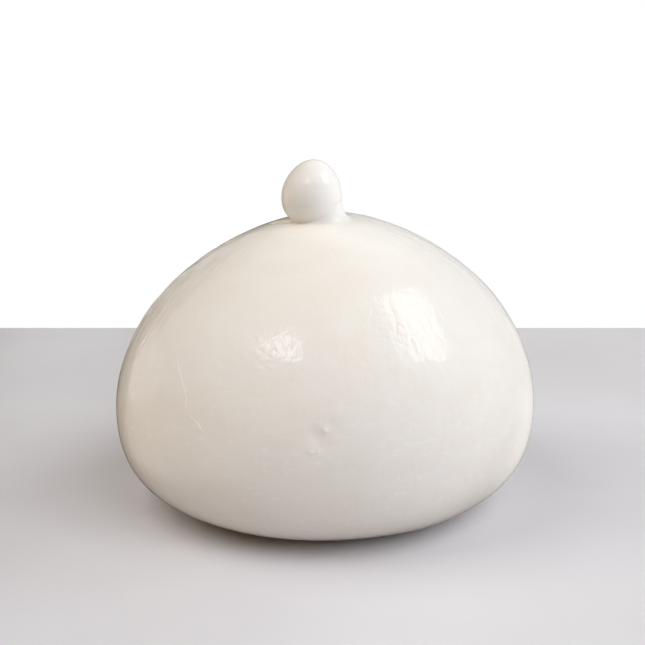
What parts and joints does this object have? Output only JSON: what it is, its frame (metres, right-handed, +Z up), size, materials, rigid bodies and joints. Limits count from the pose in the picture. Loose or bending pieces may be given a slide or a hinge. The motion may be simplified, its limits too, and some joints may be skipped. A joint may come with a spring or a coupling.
{
  "type": "mozzarella ball",
  "caption": "Soft white ball of buffalo mozzarella that has sagged onto a flat foot, with an egg-shaped knob on top where it was pinched off and a small navel in front.",
  "frame": {"origin": "on the surface that the cheese rests on, under the middle of its outline", "axes": "+Z up, the front with the navel towards -Y, +X to the right as seen from the front"},
  "size_m": [0.086, 0.086, 0.0689],
  "materials": {
    "cheese_skin": "wet, smooth, milky skin with fine wrinkles"
  },
  "bodies": {
    "root": {"mozzarella": "cheese_skin"}
  },
  "joints": []
}
